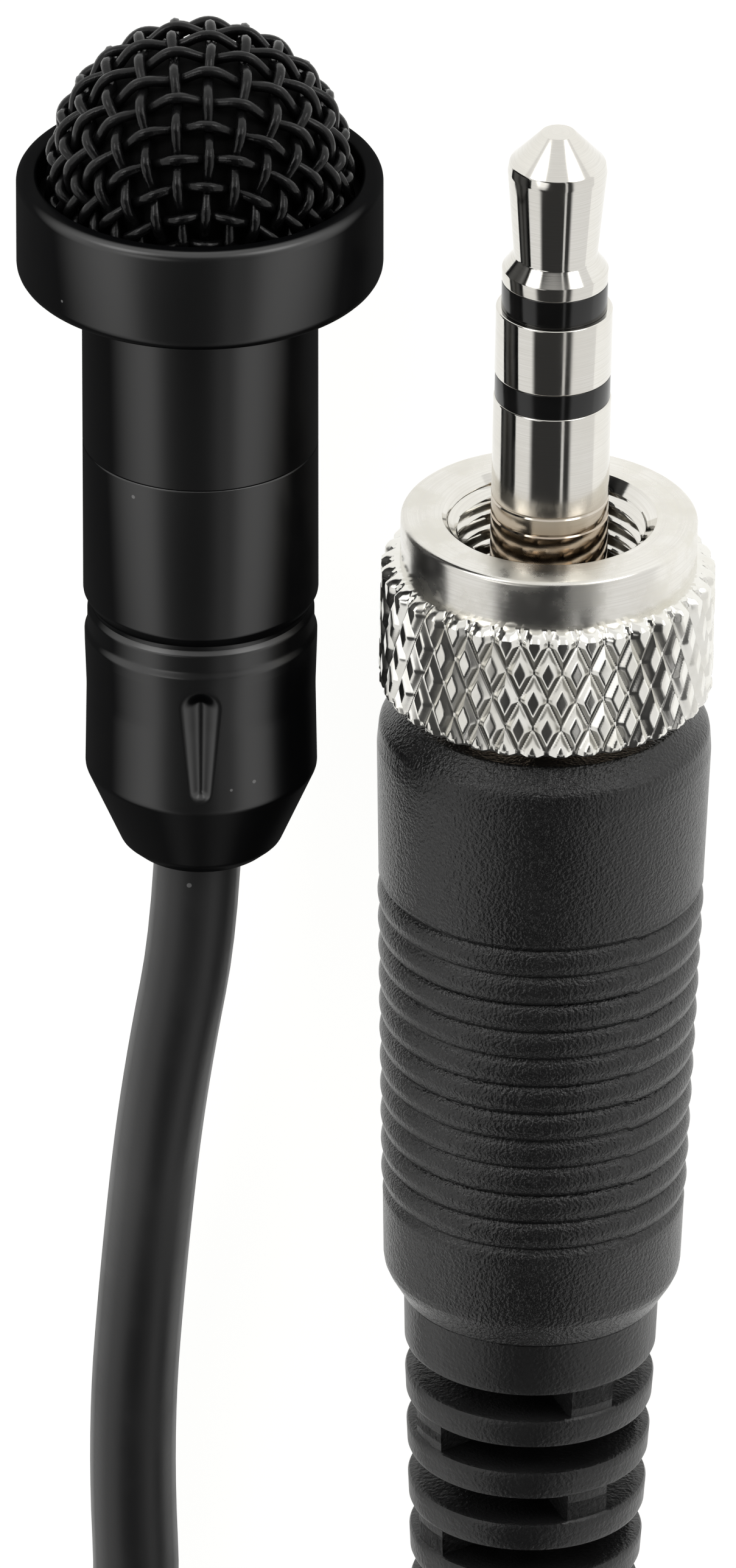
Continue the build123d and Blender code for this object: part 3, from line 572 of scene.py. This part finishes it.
def addPiece(name, mesh, slot, body, *stands, finish=None):
    piece = bpy.data.objects.new(name, mesh)
    bpy.context.scene.collection.objects.link(piece)
    mesh.materials.append(finishes[finish or slot])
    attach(piece, body)
    if stands:
        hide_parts(*stands)
    return piece


def smoothStep(value, low, high):
    t = np.clip((value - low) / (high - low), 0, 1)
    return t * t * (3 - 2 * t)


def angleApart(angle, centre):
    # the angle from centre, in degrees, wrapped to +-180
    return (np.degrees(angle) - centre + 180) % 360 - 180


domeSet = {
    "radius": 4.28, "wire": 0.16, "pitch": (1.06, 0.89), "offset": (-0.31, -0.14), "wires": 10, "reach": 8.3,
    "step": 0.105, "sides": 8, "flat": 1.05, "wander": 0.045, "seed": 3,
}


def domePoint(u, v, lift, s):
    # flat cloth laid over a dome: distance from its middle becomes arc length, then a straight skirt
    distance = np.maximum(np.hypot(u, v), 1e-9)
    bend = np.minimum(distance / s["radius"], np.pi / 2)
    below = np.maximum(distance - s["radius"] * np.pi / 2, 0)
    spin = (u[..., None] * micAxis["across"] + v[..., None] * micAxis["up"]) / distance[..., None]
    normal = np.sin(bend)[..., None] * spin - np.cos(bend)[..., None] * micAxis["along"]
    place = normal * (s["radius"] + lift[..., None]) + below[..., None] * micAxis["along"]
    return micAxis["origin"] + mm * place, normal


def wovenDome(s):
    # plain weave: a wire's lift is +-wire * cos(pi * place / pitch), opposite on neighbouring wires
    vertices, faces, start = [], [], 0
    ring = np.arange(s["sides"]) * 2 * np.pi / s["sides"]
    rng = np.random.default_rng(s["seed"])
    for way in (0, 1):
        for index in range(-s["wires"], s["wires"] + 1):
            fixed = s["offset"][way] + index * s["pitch"][way]
            half = math.sqrt(max(s["reach"] ** 2 - fixed ** 2, 0))
            if half < 1:
                continue
            count = int(2 * half / s["step"]) + 1
            run = np.linspace(-half, half, count)
            sway, beat = rng.uniform(0, 6.28), rng.uniform(0.6, 1.5)  # each wire wanders in its own way
            side = fixed + s["wander"] * np.sin(beat * run + sway)
            crossing = (run - s["offset"][1 - way]) / s["pitch"][1 - way]
            lift = s["wire"] * (-1) ** (index + way + 1) * np.cos(np.pi * crossing)
            centre, normal = domePoint(*((side, run) if way == 0 else (run, side)), lift, s)
            ahead = np.gradient(centre, axis=0)
            ahead /= np.linalg.norm(ahead, axis=1)[:, None]
            flank = np.cross(normal, ahead)
            flank /= np.linalg.norm(flank, axis=1)[:, None]
            lifted = np.cross(ahead, flank)
            sideways = s["flat"] * np.cos(ring)[None, :, None] * flank[:, None]
            tube = centre[:, None] + mm * s["wire"] * (sideways + np.sin(ring)[None, :, None] * lifted[:, None])
            row, column = np.meshgrid(np.arange(count - 1), np.arange(s["sides"]), indexing="ij")
            following = (column + 1) % s["sides"]
            quads = np.stack([row * s["sides"] + column, row * s["sides"] + following,
                              (row + 1) * s["sides"] + following, (row + 1) * s["sides"] + column], -1)
            vertices.append(tube.reshape(-1, 3))
            faces.append(quads.reshape(-1, 4) + start)
            start += count * s["sides"]
    mesh = bpy.data.meshes.new("wovenDome")
    mesh.from_pydata(np.concatenate(vertices).tolist(), [], np.concatenate(faces).tolist())
    mesh.polygons.foreach_set("use_smooth", np.ones(len(mesh.polygons), bool))
    return mesh


addPiece("wovenDome", wovenDome(domeSet), "mesh_wire", "cap", "mesh_dome")

linerSet = {"outer": 3.94, "inner": 3.66, "back": 1.2, "steps": 24, "columns": 96}


def linerProfile(s):
    # quarter arcs outside and inside, joined by a straight skirt
    turn = np.linspace(0, np.pi / 2, s["steps"])
    outer = np.stack([s["outer"] * np.sin(turn), -s["outer"] * np.cos(turn)], 1)
    inner = np.stack([s["inner"] * np.sin(turn), -s["inner"] * np.cos(turn)], 1)[::-1]
    return np.concatenate([outer, [(s["outer"], s["back"]), (s["inner"], s["back"])], inner])


linerMesh = turnedMesh("clothLiner", micAxis, linerProfile(linerSet), linerSet["columns"])
addPiece("clothLiner", linerMesh, "liner_cloth", "cap", "acoustic_liner")

collarSet = {
    "corners": [(4.825, 0, 0.14), (5.43, 0, 0.42), (5.43, 3.3, 0.42), (3.55, 3.3, 0.05),
                (3.55, 2.3), (4.6, 2.3), (4.6, 0.9), (4.825, 0.9)],
    "columns": 192,
}
collarMesh = turnedMesh("capCollar", micAxis, roundProfile(collarSet["corners"], True), collarSet["columns"])
addPiece("capCollar", collarMesh, "black_metal", "cap", "cap_collar")
print("cap made")


barrelSet = {
    "front": [(3.15, 0.6), (3.34, 0.6, 0.05), (3.34, 3.35), (3.66, 3.35, 0.05), (3.66, 3.55, 0.08), (3.5, 3.6),
              (3.5, 8.85, 0.05), (3.0, 8.85), (3.0, 7.35), (2.4, 7.35), (2.4, 4.2), (3.15, 4.2)],
    "rear": [(3.0, 8.85), (3.5, 8.85, 0.06), (3.5, 13.80, 0.22), (3.27, 14.16, 0.08), (3.26, 14.3), (2.8, 14.3),
             (2.8, 13.2), (2.4, 13.2), (2.4, 7.5), (3.0, 7.5)],
    "tail": [(1.95, 14.3), (3.25, 14.3, 0.02), (3.38, 14.44, 0.09), (3.38, 14.98, 0.16), (3.465, 15.16, 0.12),
             (3.46, 15.5, 0.6), (3.41, 17.0, 6.0), (3.455, 19.65, 0.35), (2.42, 22.05, 0.32), (2.0, 22.42, 0.25),
             (1.33, 22.45), (1.3, 20.2), (1.95, 20.2)],
    "columns": 224,
}
barrels = (("frontBarrel", "front", "upper_housing"), ("rearBarrel", "rear", "middle_housing"))
for pieceName, part, node in barrels:
    barrelMesh = turnedMesh(pieceName, micAxis, roundProfile(barrelSet[part], True), barrelSet["columns"])
    addPiece(pieceName, barrelMesh, "black_metal", "microphone", node)

dimpleSet = {
    "angle": 90, "start": 16.2, "wide": 0.66, "end": 18.98, "narrow": 0.36, "depth": 0.36, "outside": 3.2,
    "rowStep": 0.06, "rowsAbove": 2.1, "columns": 384, "focus": 0.8,
}


def dimpled(radius, station, angle, s=dimpleSet):
    # a long hollow, round at both ends, with half width falling along it; depth follows a cosine across it
    offset = radius * np.radians(angleApart(angle, s["angle"]))
    along = np.clip((station - s["start"]) / (s["end"] - s["start"]), 0, 1)
    half = s["wide"] + (s["narrow"] - s["wide"]) * along
    away = np.hypot(offset, station - (s["start"] + along * (s["end"] - s["start"])))
    hollow = 0.5 + 0.5 * np.cos(np.pi * np.clip(away / half, 0, 1))
    return radius - np.where(radius > s["outside"], s["depth"] * (half / s["wide"]) * hollow, 0)


tailProfile = roundProfile(barrelSet["tail"], True)
tailProfile = refineProfile(tailProfile, dimpleSet["rowStep"], dimpleSet["rowsAbove"])
tailMesh = turnedMesh("tailSleeve", micAxis, tailProfile, dimpleSet["columns"], dimpled,
                      focus=dimpleSet["focus"])
addPiece("tailSleeve", tailMesh, "black_metal", "microphone", "tail_sleeve")
print("barrels made")


contactSet = {
    "tip": [(0, -12.76), (0.5, -12.76, 0.06), (1.43, -11.78, 0.1), (1.48, -11.5, 0.25), (1.24, -8.74, 0.08),
            (1.58, -8.30, 0.05), (1.58, -7.88, 0.04), (0.45, -7.88), (0.45, 13.0), (0, 13.0)],
    "tipInsulator": [(0.45, -7.88), (1.575, -7.88, 0.03), (1.575, -7.0, 0.03), (0.75, -7.0), (0.75, 12.0),
                     (0.45, 12.0)],
    "ring": [(0.75, -7.0), (1.735, -7.0, 0.05), (1.735, -4.84, 0.05), (1.05, -4.84), (1.05, 11.0),
             (0.75, 11.0)],
    "ringInsulator": [(1.05, -4.84), (1.72, -4.84, 0.03), (1.72, -4.05, 0.03), (1.35, -4.05), (1.35, 10.3),
                      (1.05, 10.3)],
    "sleeve": [(1.35, -4.05), (1.75, -4.05, 0.05), (1.75, -0.80), (1.71, -0.76), (1.71, -0.72), (1.75, -0.68),
               (1.75, -0.22), (1.71, -0.18), (1.71, -0.14), (1.75, -0.10), (1.75, 2.5), (2.2, 2.5, 0.08),
               (2.2, 5.75), (3.3, 5.75, 0.08), (3.3, 6.2), (2.6, 6.2), (2.6, 9.5), (1.35, 9.5)],
    "columns": 192,
}


def addContact(name, key, slot, node, finish=None):
    closed = contactSet[key][0][0] > 0
    mesh = turnedMesh(name, plugAxis, roundProfile(contactSet[key], closed), contactSet["columns"])
    return addPiece(name, mesh, slot, "microphone", node, finish=finish)


plugPieces = [
    addContact("plugTip", "tip", "nickel", "tip_contact"),
    addContact("tipInsulator", "tipInsulator", "contact_insulator", "tip_insulator"),
    addContact("plugRing", "ring", "nickel", "ring_contact"),
    addContact("ringInsulator", "ringInsulator", "contact_insulator", "ring_insulator"),
    addContact("plugSleeve", "sleeve", "nickel", "sleeve_contact", "sleeveNickel"),
]
print("contacts made")


nutSet = {
    "hub": [(3.2, 0, 0.02), (4.42, 0, 0.16), (4.42, 1.6), (4.2, 1.9), (4.2, 5.0), (3.6, 5.69), (2.26, 5.69),
            (2.26, 3.15), (3.03, 3.15), (3.03, 0.2)],
    "knurlFront": [(4.38, 1.5), (4.6, 1.5), (4.80, 1.56), (4.90, 1.64)],
    "knurlBack": [(4.90, 5.56), (4.80, 5.64), (4.6, 5.7), (3.6, 5.7)],
    "knurlRadius": 4.98, "knurlFrom": 1.74, "knurlTo": 5.46, "hubColumns": 224,
    "starts": 36, "perStart": 24, "diamond": 1.87, "groove": 0.27, "depth": 0.21,
    "fadeFrom": 4.55, "fadeTo": 4.9,
    "thread": {"inner": 2.73, "outer": 3.02, "pitch": 0.5, "end": 3.15, "mouth": 3.2,
               "columns": 256, "rowStep": 0.045},
}


def knurled(radius, station, angle, s=nutSet):
    # two families of v grooves: turns * starts +- station / diamond is whole at the middle of a groove
    turns = angle / (2 * np.pi) * s["starts"]
    cut = np.zeros_like(radius)
    for lean in (1, -1):
        place = turns + lean * station / s["diamond"]
        apart = np.abs(place - np.round(place))
        cut = np.maximum(cut, 1 - apart / s["groove"])
    return radius - s["depth"] * np.clip(cut, 0, 1) * smoothStep(radius, s["fadeFrom"], s["fadeTo"])


def knurlProfile(s):
    # rows a whole fraction of a diamond apart, so that the grooves run through the grid's corners
    rows = np.arange(s["knurlFrom"], s["knurlTo"], s["diamond"] / s["perStart"])
    return np.array(s["knurlFront"] + [(s["knurlRadius"], row) for row in rows] + s["knurlBack"])


def threadMesh(s):
    # right-handed inner thread: radius is a clipped triangle wave of station / pitch + turns,
    # and never less than the cone of the mouth
    rows = np.arange(0, s["end"] + 1e-6, s["rowStep"])
    profile = np.stack([np.full(len(rows), s["inner"]), rows[::-1]], 1)

    def threaded(radius, station, angle):
        phase = station / s["pitch"] + angle / (2 * np.pi)
        wave = np.abs(phase - np.round(phase)) * 2
        cut = s["inner"] + (s["outer"] - s["inner"]) * np.clip(wave * 1.25 - 0.12, 0, 1)
        return np.maximum(cut, s["mouth"] - station)

    return turnedMesh("nutThread", plugAxis, profile, s["columns"], threaded, 50)


knurlColumns = nutSet["starts"] * nutSet["perStart"]
knurlMesh = turnedMesh("nutKnurl", plugAxis, knurlProfile(nutSet), knurlColumns, knurled, 28)
hubMesh = turnedMesh("nutHub", plugAxis, roundProfile(nutSet["hub"], True), nutSet["hubColumns"])
addPiece("nutKnurl", knurlMesh, "nickel", "nut", "locking_nut", finish="knurlNickel")
addPiece("nutHub", hubMesh, "nickel", "nut", "locking_nut", finish="nutNickel")
addPiece("nutThread", threadMesh(nutSet["thread"]), "nickel", "nut", "locking_nut")
print("nut made")


gripSet = {
    "corners": [(3.34, 6.2), (4.3, 6.2, 0.12), (4.93, 6.9, 0.5), (4.99, 7.65, 1.5), (4.46, 25.15, 0.9),
                (3.92, 26.05, 0.2), (3.86, 26.1), (3.12, 26.1), (3.12, 22.5), (3.3, 22.5), (3.3, 10.3),
                (2.62, 10.3), (2.62, 6.25), (3.34, 6.25)],
    "outside": 4.2, "rowStep": 0.06, "rowsAbove": 3.8, "columns": 264,
    "start": 12.27, "pitch": 0.94, "count": 12, "depth": 0.23, "bulge": 0.04, "cusp": 0.98, "margin": 0.3,
    "seam": 126, "seamWidth": 0.7, "seamDepth": 0.02, "slip": 0.07,
}


def gripped(radius, station, angle, s=gripSet):
    # twelve grooves where rounded ridges meet; the moulded halves are slightly out of step across the seam
    # depth = depth * (1 - sqrt(1 - cusp * (1 - across)^2)), with across 0 in a groove and 1 on a ridge
    side = np.abs(angleApart(angle, s["seam"] - 90)) < 90
    place = station - s["start"] + np.where(side, s["slip"], 0)
    index = np.clip(np.round(place / s["pitch"]), 0, s["count"] - 1)
    apart = np.abs(place - index * s["pitch"])
    across = np.clip(apart / (s["pitch"] / 2), 0, 1)
    groove = s["depth"] * (1 - np.sqrt(1 - s["cusp"] * (1 - across) ** 2))
    within = (place > -s["margin"]) & (place < (s["count"] - 1) * s["pitch"] + s["margin"])
    swell = np.where(within, s["bulge"] * across, 0)
    nearSeam = np.minimum(np.abs(angleApart(angle, s["seam"])), np.abs(angleApart(angle, s["seam"] + 180)))
    seam = s["seamDepth"] * (1 - smoothStep(nearSeam, 0, s["seamWidth"]))
    return radius - np.where(radius > s["outside"], groove - swell + seam, 0)


gripProfile = refineProfile(roundProfile(gripSet["corners"], True), gripSet["rowStep"], gripSet["rowsAbove"])
gripMesh = turnedMesh("gripShell", plugAxis, gripProfile, gripSet["columns"], gripped, 50)
plugPieces.append(addPiece("gripShell", gripMesh, "grip_plastic", "microphone", "grip_shell"))

bootSet = {
    "bandEnd": 27.9, "pitch": 1.82, "slot": 0.87, "count": 9, "bandRadius": 3.78, "taper": 0.7 / 16.38,
    "floor": 1.34, "edge": 0.14, "bridge": 121, "bridgeHalf": 12.4, "bridgeRadius": -0.1,
    "inside": [(1.32, 22.5), (3.08, 22.5), (3.08, 26.08), (3.78, 26.1), (3.83, 26.16)],
    "tail": [(2.24, 46.86), (2.14, 47.0), (1.34, 47.0), (1.32, 46.8)], "rowStep": 0.3, "columns": 288,
}


def bootProfile(s):
    # each slot is two steep walls down to the cable; ring corners are eased over s["edge"]
    rows = list(s["inside"])
    last = s["bandEnd"] + s["pitch"] * s["count"]
    for k in range(s["count"]):
        start = s["bandEnd"] + k * s["pitch"]
        end = start + s["slot"]
        wall = [s["bandRadius"] - s["taper"] * (z - s["bandEnd"]) for z in (start, end)]
        e = s["edge"]
        rows += [(wall[0], start - e), (wall[0] - 0.3 * e, start - 0.3 * e), (wall[0] - e, start),
                 (s["floor"], start + 0.001), (s["floor"], end - 0.001),
                 (wall[1] - e, end), (wall[1] - 0.3 * e, end + 0.3 * e), (wall[1], end + e)]
    wide = s["bandRadius"] - s["taper"] * (last - s["bandEnd"])
    rows += [(wide, last - 0.2), (wide - 0.06, last - 0.04), (2.50, last + 0.62), (2.40, last + 0.8)]
    return np.array(rows + s["tail"] + rows[:1])


def bridged(radius, station, angle, s=bootSet):
    # two bridges across each slot, turned a quarter round at the next one
    index = np.floor((station - s["bandEnd"] + 1e-4) / s["pitch"])
    into = station - s["bandEnd"] - index * s["pitch"]
    slotted = (index >= 0) & (index < s["count"]) & (into < s["slot"] + 1e-3)
    slotted &= station > s["bandEnd"] - 1e-3
    centre = s["bridge"] + 90 * (index % 2)
    apart = np.minimum(np.abs(angleApart(angle, centre)), np.abs(angleApart(angle, centre + 180)))
    wall = s["bandRadius"] - s["taper"] * (station - s["bandEnd"]) + s["bridgeRadius"]
    share = 1 - smoothStep(apart, s["bridgeHalf"] - 0.6, s["bridgeHalf"] + 1.4)
    carved = slotted & (radius < wall)
    return np.where(carved, radius + (wall - radius) * share, radius)


reliefProfile = refineProfile(bootProfile(bootSet), bootSet["rowStep"])
reliefMesh = turnedMesh("reliefBoot", plugAxis, reliefProfile, bootSet["columns"], bridged, 40)
plugPieces.append(addPiece("reliefBoot", reliefMesh, "boot_rubber", "microphone", "strain_relief_boot"))
print("grip and boot made")


cableSet = {
    "diameter": 0.0026, "length": 1.6, "exitFromCollar": 22.45,
    "micSide": [(0, 17.4, 5.43), (0, 24.2, 5.43), (1.15, 31.2, 4.35), (1.75, 38.0, 2.0), (2.25, 45.0, 1.3),
                (1.95, 52.2, 1.3), (3.6, 60.0, 1.3), (5.9, 68.5, 1.3), (6.1, 77.0, 1.3)],
    "plugSide": [(-10.3, 68.4, 6.7), (-13.2, 74.6, 9.2), (-14.9, 81.6, 9.5)],
    "mouth": 42.5, "lead": 49.5,
}
hankSet = {
    "x": -4.5, "fromCollar": 101, "columns": (5.4, 8.0, 10.6), "outerLength": 28.0, "shorter": 2.6,
    "spread": 0.5,
    "layers": 4, "layerHeight": 2.6, "perTurn": 20, "start": -22, "end": 200, "power": 2.9,
    "waist": 4.0, "waistLength": 8.0, "lift": 0.8, "seed": 7,
}


def hankPoints(s):
    # turns of |x / a|^n + |y / b|^n = 1; each turn moves one column in or out, each third turn one layer up
    turns = 3 * s["layers"]
    degrees = np.linspace(s["start"], 360 * (turns - 1) + s["end"],
                          int(s["perTurn"] * (turns - 1 + (s["end"] - s["start"]) / 360)) + 1)
    turn = np.clip(np.floor((degrees - s["start"]) / 360), 0, turns - 1).astype(int)
    order = np.array([(2, 1, 0) if k % 2 == 0 else (0, 1, 2) for k in range(s["layers"])]).reshape(-1)
    following = np.minimum(turn + 1, turns - 1)
    phase = degrees - 360 * turn
    swap = smoothStep(phase, 195, 265)
    inward = (turn // 3) % 2 == 0
    rise = np.where(inward, smoothStep(phase, 215, 285), smoothStep(phase, 270, 337))
    loose = np.random.default_rng(s["seed"]).uniform(-s["spread"], s["spread"], turns)
    wide = np.array(s["columns"])
    long = s["outerLength"] - s["shorter"] * (2 - order) + loose[:turns]
    a = wide[order[turn]] * (1 - swap) + wide[order[following]] * swap
    b = long[turn] * (1 - swap) + long[following] * swap
    level = turn // 3 + (following // 3 - turn // 3) * rise
    angle = np.radians(degrees)
    x = a * np.sign(np.cos(angle)) * np.abs(np.cos(angle)) ** (2 / s["power"])
    y = b * np.sign(np.sin(angle)) * np.abs(np.sin(angle)) ** (2 / s["power"])
    squeeze = np.exp(-(y / s["waistLength"]) ** 2)
    x = x - np.sign(x) * s["waist"] * squeeze
    z = s["layerHeight"] * (level + 0.5) + s["lift"] * squeeze
    return np.stack([s["x"] + x, s["fromCollar"] + y, z], 1)


def cablePoints(s):
    # microphone end, hank, then back to the plug's boot; stations are from the collar's front
    def boot(station):
        place = (plugAxis["origin"] + mm * station * plugAxis["along"]) / mm
        return (place[0], place[1] - micAxis["origin"][1] / mm, place[2])

    route = [np.array(s["micSide"]), hankPoints(hankSet), np.array(s["plugSide"][::-1]),
             np.array([boot(s["lead"]), boot(s["mouth"])])]
    return np.concatenate(route) * mm + np.array([0, micAxis["origin"][1], 0])


def cableCurve(s):
    curve = bpy.data.curves.new("cable", "CURVE")
    curve.dimensions = "3D"
    curve.resolution_u = 8
    curve.bevel_depth = s["diameter"] / 2
    curve.bevel_resolution = 5
    curve.use_fill_caps = True
    points = cablePoints(s)
    spline = curve.splines.new("NURBS")
    spline.points.add(len(points) - 1)
    spline.points.foreach_set("co", np.concatenate([points, np.ones((len(points), 1))], 1).reshape(-1))
    spline.order_u = 3
    spline.use_endpoint_u = True
    piece = bpy.data.objects.new("cable", curve)
    bpy.context.scene.collection.objects.link(piece)
    curve.materials.append(finishes["cable_jacket"])
    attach(piece, "microphone")
    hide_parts("mic_side_cable", "plug_side_cable", "cable_hank")
    return piece


cable = cableCurve(cableSet)

tieSet = {
    "x": -4.5, "fromCollar": 101, "width": 7.0, "thick": 0.8, "halfWidth": 8.9, "height": 12.2,
    "corner": 2.6, "edge": 0.25, "step": 0.5,
}


def strapLoop(s):
    # middle line of the strap: a rounded rectangle standing across the hank, resting on the table
    half, top, r = s["halfWidth"] - s["thick"] / 2, s["height"] - s["thick"] / 2, s["corner"]
    low = s["thick"] / 2
    middles = ((half - r, top - r), (-half + r, top - r), (-half + r, low + r), (half - r, low + r))
    line = []
    for quarter, (x, z) in enumerate(middles):
        turn = np.radians(np.linspace(90 * quarter, 90 * quarter + 90, 10))
        line.append(np.stack([x + r * np.cos(turn), z + r * np.sin(turn)], 1))
    return np.concatenate(line)


def strapMesh(s):
    # the strap's own section, a thin rounded oblong, carried round the loop
    line = refineProfile(np.vstack([strapLoop(s), strapLoop(s)[:1]]), s["step"])[:-1]
    ahead = np.roll(line, -1, axis=0) - np.roll(line, 1, axis=0)
    ahead /= np.linalg.norm(ahead, axis=1)[:, None]
    outward = np.stack([ahead[:, 1], -ahead[:, 0]], 1)
    half, thin, edge = s["width"] / 2, s["thick"] / 2, s["edge"]
    oblong = [(-thin, -half, edge), (thin, -half, edge), (thin, half, edge), (-thin, half, edge)]
    section = roundProfile(oblong, True)[:-1]
    cross = line[:, None] + section[None, :, :1] * outward[:, None]
    along = np.broadcast_to(s["fromCollar"] + section[None, :, 1], cross.shape[:2])
    points = np.stack([s["x"] + cross[..., 0], along, cross[..., 1]], -1) * mm
    points[..., 1] += micAxis["origin"][1]
    points = np.concatenate([points, points[:1]])
    return gridMesh("strapTie", points, np.arange(len(points)) * s["step"])


addPiece("strapTie", strapMesh(tieSet), "tie_fabric", "microphone", "hank_tie")
# everything on the cable's far end, and the strap that holds the hank
cadPlugNodes = ["rear_insulator", "nut_retaining_ring", "plug_cable_crimp", "plug_solder", "plug_signal_wire",
                "plug_shield_wire", "cable_in_boot"]
farPieces = [piece.name for piece in plugPieces] + cadPlugNodes
farPieces += ["strapTie", "nutKnurl", "nutHub", "nutThread"]
print("cable and strap made")
